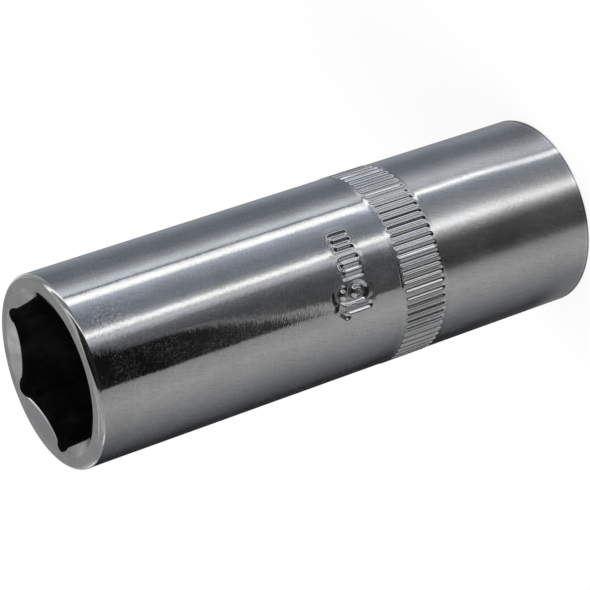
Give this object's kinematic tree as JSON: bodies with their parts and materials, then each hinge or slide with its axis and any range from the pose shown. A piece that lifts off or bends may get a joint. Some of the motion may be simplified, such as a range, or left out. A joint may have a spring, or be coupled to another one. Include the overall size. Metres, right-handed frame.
{
  "type": "spark plug socket",
  "caption": "Deep socket for spark plugs: chromed steel tube with a relieved hex mouth, fluted grip band, square drive end and a rubber insert that holds the plug.",
  "frame": {"origin": "centre of the drive face, on which the socket stands", "axes": "+Z along the socket's axis towards the hex mouth, +X square to a flat of the hex and to a flat of the drive square"},
  "size_m": [0.0222, 0.0222, 0.065],
  "materials": {
    "chrome": "polished plate with fine handling scratches",
    "rubber": "matte"
  },
  "bodies": {
    "root": {"socket_body": "chrome", "rubber_insert": "rubber"}
  },
  "joints": []
}
